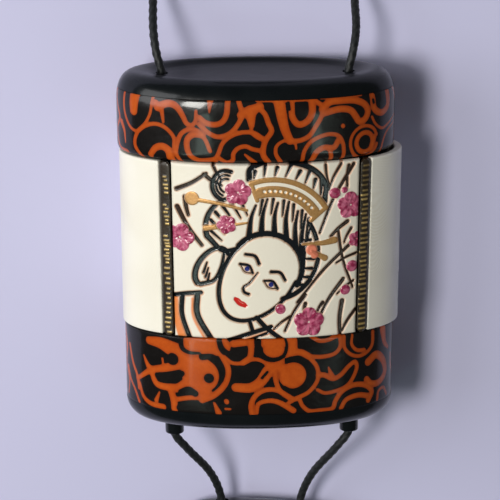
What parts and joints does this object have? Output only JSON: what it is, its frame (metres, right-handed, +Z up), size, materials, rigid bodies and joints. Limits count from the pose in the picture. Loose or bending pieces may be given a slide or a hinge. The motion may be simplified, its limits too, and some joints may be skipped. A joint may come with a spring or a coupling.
{
  "type": "inro case",
  "caption": "Small oval lidded case of clay with swirled bands and a cut picture of a lady, hung on a black cord with a bead.",
  "frame": {"origin": "under the middle of the case with its collars, on the surface that it lies on", "axes": "+Z up through the picture, +Y toward the lid, +X to the right of the picture"},
  "size_m": [0.0585, 0.1741, 0.0307],
  "materials": {
    "black_clay": "black polymer clay, sanded and varnished",
    "swirl_clay": "orange and black swirled polymer clay veneer, varnished",
    "ivory_clay": "imitation ivory polymer clay with fine grain, soft varnish",
    "bar_clay": "dark brown polymer clay strip with gold ticks",
    "black_cord": "black braided cord, matte",
    "tie_thread": "dark thread"
  },
  "bodies": {
    "root": {"case_body": "black_clay", "lid_cap": "black_clay", "foot_band": "swirl_clay", "lid_band": "swirl_clay", "ivory_wrap": "ivory_clay", "picture_tile": "ivory_clay", "bar_left": "bar_clay", "bar_right": "bar_clay", "cord_bead": "black_clay", "cord_left": "black_cord", "cord_right": "black_cord", "cord_coil": "black_cord", "cord_tie": "tie_thread", "knot_left": "black_cord", "knot_right": "black_cord"}
  },
  "joints": []
}
